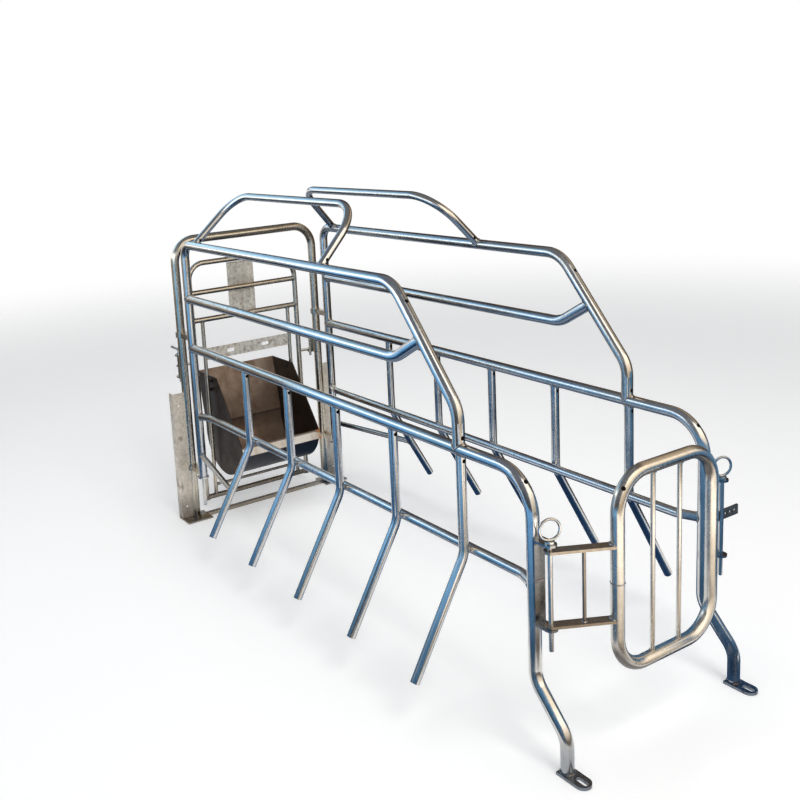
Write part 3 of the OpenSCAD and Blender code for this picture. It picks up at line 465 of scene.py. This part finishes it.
lay_bead(bm, Vector((gate_x, loop_left_y, butt_z)), z_axis, rail_r - 0.0012, bead=0.0024)
loop_side = Vector((gate_x, loop_left_y, 0))
hinge_side = Vector((post_x + 1.921, -panel_y, 0))
arm_way = (hinge_side - loop_side).normalized()
arm_across = arm_way.cross(z_axis)
arm_steps = (-0.0135, -0.010, -0.0065, -0.003, 0.0005, 0.004, 0.0075, 0.011, 0.0135)
for z in (low_arm_z, high_arm_z):
    for level in (z - 0.0006, z + arm_top):
        lay_run(bm, [loop_side + z_axis * level + arm_across * w
                     + arm_way * (math.sqrt(rail_r ** 2 - w * w) + 0.001)
                     for w in arm_steps], 0.0032)
for z, way in ((arm_rod_low_z, z_axis), (high_arm_z, -z_axis)):
    lay_bead(bm, (loop_side + hinge_side) / 2 + z_axis * z, way, arm_rod_r, bead=0.0022)
finish_mesh(bm, "gate_welds", "rear_gate", weld_zinc)
bend_r, bend_y, bend_z = 0.092, -0.081, 0.634
bend_turn = math.radians(38)
bend_along = Vector((0, math.sin(bend_turn), math.cos(bend_turn)))
bend_middle = Vector((gate_x, bend_y - bend_r * math.cos(bend_turn),
                      bend_z + bend_r * math.sin(bend_turn)))
bend_out = Vector((0.6, -0.72, 0.36))
bm = bmesh.new()
drill(bm, bend_middle, bend_out - bend_along * bend_out.dot(bend_along), rail_r,
      bend_along, 0.0056)
finish_mesh(bm, "gate_vent_hole", "rear_gate", painted_hole_shade, False)

# Head gate: an upturned U of thin pipe with cross bars, two rods and a ribbed bar
# under the trough. The bare tag plate and the slotted hanger strap are mottled zinc
# sheet, welded on.
dull_sheet = zinc_finish(
    "dull_sheet", dark=(0.40, 0.38, 0.33), pale=(0.90, 0.87, 0.79),
    warm=(0.80, 0.70, 0.56), soil=(0.24, 0.17, 0.11),
    spangle=170.0, pits=1.0, grime=0.75, bump=0.20, metal=0.35,
    under=(0.20, 0.17, 0.14), satin=0.10, mottle=0.62)
dress(warm_tint_zinc, "head_gate_frame", "head_gate_bars", "head_gate_rods", "head_gate_lugs")
dress(dull_sheet, "tag_plate", "hanger_strap")
head_x = post_x - 0.140
upright_y, head_rod_y = 0.246, 0.202
high_bar_z, cross_bar_z, bottom_bar_z, ribbed_bar_z = 0.917, 0.803, 0.046, 0.093
head_rod_r, ribbed_bar_r = 0.008, 0.006
bm = bmesh.new()
for z in (high_bar_z, cross_bar_z, bottom_bar_z):
    for s in (-1, 1):
        lay_bead(bm, Vector((head_x, s * upright_y, z)), y_axis * -s, small_r,
                 z_axis, small_r, 0.0022)
for s in (-1, 1):
    for z, way in ((bottom_bar_z, z_axis), (cross_bar_z, -z_axis)):
        lay_bead(bm, Vector((head_x, s * head_rod_y, z)), way, head_rod_r,
                 y_axis, small_r, 0.0022)
    lay_bead(bm, Vector((head_x, s * head_rod_y, ribbed_bar_z)), y_axis * -s, ribbed_bar_r,
             z_axis, head_rod_r, 0.0020)
finish_mesh(bm, "head_gate_welds", "head_gate", weld_zinc)
rib_count, first_rib_y, rib_pitch, rib_r = 58, -0.1853, 0.0065, 0.0011
rib_slant = Matrix.Rotation(math.radians(24), 3, "X")
rib_turn = Matrix.Rotation(math.pi / 2, 4, "Y")
bm = bmesh.new()
for i in range(rib_count):
    before = set(bm.verts)
    middle = Vector((head_x, first_rib_y + rib_pitch * i, ribbed_bar_z))
    bmesh.ops.create_circle(bm, segments=5, radius=rib_r,
                            matrix=Matrix.Translation(middle + z_axis * 0.0061) @ rib_turn)
    ring = new_verts(bm, before)
    bmesh.ops.spin(bm, geom=ring + ring_edges(bm, ring), cent=middle, axis=y_axis,
                   dvec=(0, 0, 0), angle=math.tau, steps=14, use_merge=True)
    bmesh.ops.rotate(bm, verts=new_verts(bm, before), cent=middle, matrix=rib_slant)
finish_mesh(bm, "ribbed_bar_ribs", "head_gate", weld_zinc)

# Feed trough: bare sheet, folded and rolled, stained brown inside by feed and darker
# towards its bottom, near black on the outer faces of its side walls, with painted
# shade on its outer front, back and underside and a painted highlight on its rolled
# lip, and rust at the lip's end. It is bolted through its sides to the gate's rods.
trough_sheet = bpy.data.materials.new("trough_sheet")
trough_sheet.use_nodes = True
tree = trough_sheet.node_tree
shader = tree.nodes["Principled BSDF"]
where = tree.nodes.new("ShaderNodeTexCoord")
place = where.outputs["Object"]
at = parted(tree, place)
normal = parted(tree, where.outputs["Normal"])
stains = cloud(tree, place, scale=11.0, detail=6.0, rough=0.6)
smears = cloud(tree, place, scale=1.0, detail=4.0, rough=0.6, stretch=(18.0, 18.0, 5.0))
rust_noise = cloud(tree, place, scale=60.0, detail=5.0, rough=0.65)

stains_and_painted_light = tinted(tree, spread(tree, stains, 0.35, 0.70), (0.45, 0.33, 0.25), (0.23, 0.155, 0.105))
stains_and_painted_light = tinted(tree, spread(tree, smears, 0.50, 0.75, 0.0, 0.7), stains_and_painted_light, (0.60, 0.48, 0.39))
# Darker towards the bottom of the trough.
stains_and_painted_light = tinted(tree, spread(tree, at["Z"], 0.52, 0.36, 0.0, 0.55), stains_and_painted_light, (0.12, 0.075, 0.05))
wall = spread(tree, maths(tree, "ABSOLUTE", at["Y"]), 0.1806, 0.1809)
stains_and_painted_light = tinted(tree, times(tree, wall, 0.94), stains_and_painted_light, (0.034, 0.022, 0.016))

# Painted shade: the outer front below the lip, the outer back and the faces that look down are
# painted dark blue-grey.
below = times(tree, spread(tree, normal["X"], 0.05, 0.25), spread(tree, at["Z"], 0.305, 0.303))
below = times(tree, below, spread(tree, at["X"], -0.95, -0.94))
behind = times(tree, spread(tree, normal["X"], -0.20, -0.35), spread(tree, at["X"], -0.96, -0.98))
outer_painted_shade = larger(tree, larger(tree, below, behind), spread(tree, normal["Z"], -0.02, -0.12))
stains_and_painted_light = tinted(tree, outer_painted_shade, stains_and_painted_light, (0.022, 0.026, 0.034))

# Painted highlight: the rolled lip's faces toward +X are painted pale cream.
lip_highlight = times(tree, spread(tree, at["X"], -0.7903, -0.7885), spread(tree, normal["X"], 0.0, 0.2))
lip_highlight_colour = tinted(tree, spread(tree, smears, 0.40, 0.70), (0.80, 0.74, 0.66), (0.56, 0.47, 0.37))
stains_and_painted_light = tinted(tree, lip_highlight, stains_and_painted_light, lip_highlight_colour)
corner = plus(tree, spread(tree, at["Y"], 0.150, 0.182, 0.0, 0.45),
              maths(tree, "SUBTRACT", rust_noise, 0.5))
rusty = times(tree, spread(tree, at["X"], -0.805, -0.792), spread(tree, corner, 0.34, 0.46))
stains_and_painted_light = tinted(tree, rusty, stains_and_painted_light, (0.44, 0.17, 0.05))
tree.links.new(stains_and_painted_light, shader.inputs["Base Color"])
tree.links.new(spread(tree, stains, 0.30, 0.70, 0.34, 0.52), shader.inputs["Roughness"])
covered = times(tree, larger(tree, lip_highlight, rusty), 0.45)
tree.links.new(maths(tree, "SUBTRACT", 0.65, covered), shader.inputs["Metallic"])
lift = tree.nodes.new("ShaderNodeBump")
lift.inputs["Strength"].default_value = 0.15
lift.inputs["Distance"].default_value = 0.001
tree.links.new(rust_noise, lift.inputs["Height"])
tree.links.new(lift.outputs["Normal"], shader.inputs["Normal"])
dress(trough_sheet, "feed_trough")

bolt_black = zinc_finish(
    "bolt_black", dark=(0.010, 0.010, 0.011), pale=(0.05, 0.048, 0.045),
    warm=(0.05, 0.035, 0.025), soil=(0.02, 0.012, 0.008),
    spangle=300.0, pits=1.0, grime=0.6, bump=0.2, metal=0.5, under=(0.01, 0.01, 0.01))
bolt_y, bolt_head_r, bolt_head_h, bolt_edge = 0.1806, 0.0062, 0.0046, 0.0009
bm = bmesh.new()
for s in (-1, 1):
    for z in (0.542, 0.506):
        before = set(bm.verts)
        turned = Matrix.Rotation(s * math.pi / 2, 4, "X")
        bmesh.ops.create_circle(bm, cap_ends=True, segments=6, radius=bolt_head_r,
                                matrix=Matrix.Translation((head_x, s * bolt_y, z)) @ turned)
        base = list({f for v in new_verts(bm, before) for f in v.link_faces})
        risen = bmesh.ops.extrude_face_region(bm, geom=base, use_keep_orig=True)["geom"]
        top = [g for g in risen if isinstance(g, bmesh.types.BMFace)]
        bmesh.ops.translate(bm, verts=list({v for f in top for v in f.verts}),
                            vec=(0, -s * bolt_head_h, 0))
        bmesh.ops.bevel(bm, geom=[e for f in top for e in f.edges], offset=bolt_edge,
                        segments=2, profile=0.5, affect="EDGES", material=-1)
finish_mesh(bm, "trough_bolts", "head_gate", bolt_black, False)

# The stage: a plain pale floor that fades into the white ground, glowing cards that
# only show in the metal, cool on the near side and warm behind the rear gate, two
# soft boxes, and the camera.
floor_half, floor_glow, fade_from, fade_to = 14.0, 0.30, 3.0, 8.0
bm = bmesh.new()
bmesh.ops.create_grid(bm, x_segments=1, y_segments=1, size=floor_half)
mesh = bpy.data.meshes.new("floor")
bm.to_mesh(mesh)
bm.free()
floor = bpy.data.objects.new("floor", mesh)
bpy.context.scene.collection.objects.link(floor)
pale_floor = bpy.data.materials.new("pale_floor")
pale_floor.use_nodes = True
tree = pale_floor.node_tree
shader = tree.nodes["Principled BSDF"]
place = tree.nodes.new("ShaderNodeTexCoord").outputs["Object"]
away = tree.nodes.new("ShaderNodeVectorMath")
away.operation = "LENGTH"
tree.links.new(place, away.inputs[0])
shader.inputs["Base Color"].default_value = (0.90, 0.90, 0.89, 1)
shader.inputs["Roughness"].default_value = 0.9
shader.inputs["Emission Color"].default_value = (1, 1, 1, 1)
seen = tree.nodes.new("ShaderNodeLightPath").outputs
mirrored = larger(tree, seen["Is Glossy Ray"], seen["Is Transmission Ray"])
straight = larger(tree, seen["Is Camera Ray"], mirrored)
tree.links.new(times(tree, straight, floor_glow), shader.inputs["Emission Strength"])
tree.links.new(spread(tree, away.outputs["Value"], fade_from, fade_to, 1.0, 0.0),
               shader.inputs["Alpha"])
mesh.materials.append(pale_floor)

world = bpy.data.worlds.new("studio")
bpy.context.scene.world = world
world.use_nodes = True
tree = world.node_tree
ground = tree.nodes["Background"]
look = parted(tree, tree.nodes.new("ShaderNodeTexCoord").outputs["Generated"])
tree.links.new(tinted(tree, spread(tree, look["Z"], 0.16, 0.50), (1.0, 1.0, 1.0),
                      (0.17, 0.18, 0.20)), ground.inputs["Color"])
ground.inputs["Strength"].default_value = 1.0


def soft_box(name, at, towards, width, height, colour, radiance):
    lamp = bpy.data.lights.new(name, "AREA")
    lamp.shape = "RECTANGLE"
    lamp.size, lamp.size_y = width, height
    lamp.color = colour
    lamp.energy = radiance * math.pi * width * height
    box = bpy.data.objects.new(name, lamp)
    bpy.context.scene.collection.objects.link(box)
    box.location = at
    box.rotation_euler = (Vector(towards) - Vector(at)).to_track_quat("-Z", "Y").to_euler()
    box.visible_camera = box.visible_glossy = False


def card(name, at, facing, size, foot, middle, head):
    """A glowing sheet that only shows in the metal, shaded from its foot through
    its middle to its head."""
    bm = bmesh.new()
    bmesh.ops.create_grid(bm, x_segments=1, y_segments=1, size=0.5)
    mesh = bpy.data.meshes.new(name)
    bm.to_mesh(mesh)
    bm.free()
    sheet = bpy.data.objects.new(name, mesh)
    bpy.context.scene.collection.objects.link(sheet)
    glow = bpy.data.materials.new(name)
    glow.use_nodes = True
    tree = glow.node_tree
    tree.nodes.remove(tree.nodes["Principled BSDF"])
    light = tree.nodes.new("ShaderNodeEmission")
    up = parted(tree, tree.nodes.new("ShaderNodeTexCoord").outputs["Object"])["Y"]
    lower = tinted(tree, spread(tree, up, -0.42, -0.02), foot, middle)
    tree.links.new(tinted(tree, spread(tree, up, -0.02, 0.36), lower, head),
                   light.inputs["Color"])
    tree.links.new(light.outputs["Emission"], tree.nodes["Material Output"].inputs["Surface"])
    mesh.materials.append(glow)
    sheet.location = at
    sheet.scale = (*size, 1)
    sheet.rotation_euler = Vector(facing).to_track_quat("Z", "Y").to_euler()
    sheet.visible_camera = sheet.visible_diffuse = sheet.visible_shadow = False


card("cool_card", at=(-1.40, -1.15, 0.85), facing=(0, 0.90, 0.44), size=(3.9, 1.9),
     foot=(0.04, 0.11, 0.22), middle=(0.25, 0.58, 0.96), head=(2.3, 2.5, 2.6))
card("sky_card", at=(-2.4, -1.1, 2.7), facing=(2.4, 1.1, -1.8), size=(3.4, 1.8),
     foot=(0.9, 1.4, 1.8), middle=(0.35, 0.6, 0.85), head=(0.12, 0.17, 0.26))
card("head_flag", at=(-1.9, -0.82, 0.62), facing=(0, 1, 0), size=(2.0, 1.1),
     foot=(0.04, 0.035, 0.03), middle=(0.12, 0.105, 0.09), head=(0.34, 0.31, 0.27))
card("warm_card", at=(2.3, 0.7, 2.1), facing=(-1.0, 0.0, 0.12), size=(3.2, 4.6),
     foot=(0.50, 0.38, 0.25), middle=(1.75, 1.55, 1.25), head=(2.2, 2.05, 1.8))
card("roof_card", at=(0.4, 2.0, 3.0), facing=(-0.2, -0.6, -0.8), size=(4.4, 2.2),
     foot=(0.9, 0.76, 0.56), middle=(0.45, 0.35, 0.25), head=(0.10, 0.08, 0.06))
card("right_flag", at=(-0.2, 1.7, 1.1), facing=(0, -0.95, 0.30), size=(4.0, 2.5),
     foot=(0.03, 0.025, 0.02), middle=(0.08, 0.06, 0.045), head=(0.16, 0.12, 0.08))
card("back_flag", at=(-2.6, 1.6, 2.6), facing=(2.6, -1.6, -1.6), size=(5.0, 2.4),
     foot=(0.06, 0.05, 0.045), middle=(0.06, 0.05, 0.045), head=(0.06, 0.05, 0.045))
card("low_blue", at=(1.06, -0.64, 0.30), facing=(0, 1, 0.05), size=(0.75, 0.60),
     foot=(0.03, 0.08, 0.15), middle=(0.08, 0.21, 0.38), head=(0.22, 0.50, 0.85))
card("low_tan", at=(1.42, -0.42, 0.26), facing=(-1, 0, 0.05), size=(1.5, 0.52),
     foot=(0.12, 0.09, 0.07), middle=(1.1, 0.95, 0.77), head=(2.0, 1.8, 1.55))
card("face_card", at=(2.35, -0.95, 0.75), facing=(-0.95, 0.25, 0.05), size=(1.1, 1.5),
     foot=(0.40, 0.32, 0.24), middle=(1.9, 1.7, 1.45), head=(1.6, 1.5, 1.35))
card("camera_flag", at=(1.60, -1.25, 0.60), facing=(-0.2, 0.98, 0.0), size=(2.1, 1.6),
     foot=(0.03, 0.03, 0.03), middle=(0.06, 0.06, 0.06), head=(0.14, 0.15, 0.17))
card("blue_flag", at=(1.62, 0.72, 0.36), facing=(-0.72, -0.66, 0.10), size=(1.3, 0.9),
     foot=(0.03, 0.07, 0.13), middle=(0.06, 0.15, 0.27), head=(0.12, 0.26, 0.42))
card("leg_flag", at=(1.055, 0.240, 0.36), facing=(-0.6, 0.8, 0.0), size=(0.36, 0.72),
     foot=(0.03, 0.07, 0.13), middle=(0.06, 0.15, 0.27), head=(0.12, 0.26, 0.42))
card("under_flag", at=(0.15, 0.40, 0.015), facing=(0, 0, 1), size=(2.2, 0.5),
     foot=(0.12, 0.22, 0.36), middle=(0.07, 0.16, 0.29), head=(0.05, 0.11, 0.20))
soft_box("key_box", (4.2, -0.4, 5.2), (0, 0, 0.5), 2.4, 2.4, (1.0, 0.98, 0.95), 8.0)
soft_box("top_box", (-0.4, -0.4, 5.0), (-0.4, -0.4, 0), 3.4, 3.4, (1.0, 1.0, 1.0), 2.2)

camera_at = (2.6154, -1.8911, 1.5850)
ahead = Vector((-0.8359, 0.5164, -0.1861)).normalized()
dip = math.radians(3.43)
eye = bpy.data.cameras.new("camera")
eye.lens = 44.64
eye.sensor_width = 36.0
eye.shift_x, eye.shift_y = 0.1025, -0.1169
camera = bpy.data.objects.new("camera", eye)
bpy.context.scene.collection.objects.link(camera)
level = ahead.cross(z_axis).normalized()
right_way = level * math.cos(dip) - level.cross(ahead) * math.sin(dip)
up_way = right_way.cross(ahead)
turned = Matrix((right_way, up_way, -ahead)).transposed().to_4x4()
camera.matrix_world = Matrix.Translation(camera_at) @ turned
bpy.context.scene.camera = camera
bpy.context.scene.view_settings.view_transform = "Standard"
